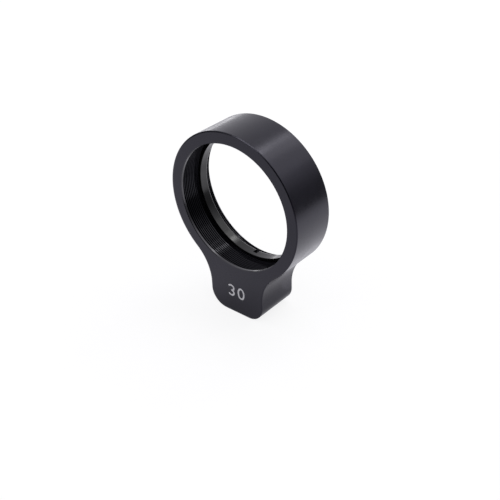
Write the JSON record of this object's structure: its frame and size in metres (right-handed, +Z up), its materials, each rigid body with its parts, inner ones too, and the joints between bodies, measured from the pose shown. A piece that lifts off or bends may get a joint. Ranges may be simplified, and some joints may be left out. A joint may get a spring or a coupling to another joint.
{
  "type": "lens mount",
  "caption": "Fixed lens mount: a ring with a thin front lip and an integral foot with a tapped hole, and a slotted, threaded retaining ring that clamps a round lens against the lip.",
  "frame": {"origin": "middle of the foot's flat underside, at the mouth of the tapped post hole", "axes": "+Z up from the foot to the top of the ring, Y along the optical axis with the front lip facing -Y, X across the foot"},
  "size_m": [0.034, 0.0104, 0.0435],
  "materials": {
    "body_anodised": "satin black anodised, fine blasted grain",
    "ring_anodised": "black anodised, fine turned marks"
  },
  "bodies": {
    "mount": {"mount_body": "body_anodised"},
    "lens_ring": {"retaining_ring": "ring_anodised"}
  },
  "joints": [
    {"name": "ring_travel", "type": "slide", "parent": "mount", "child": "lens_ring", "axis": [0, 1, 0], "range_m": [-0.0055, 0.012]}
  ]
}
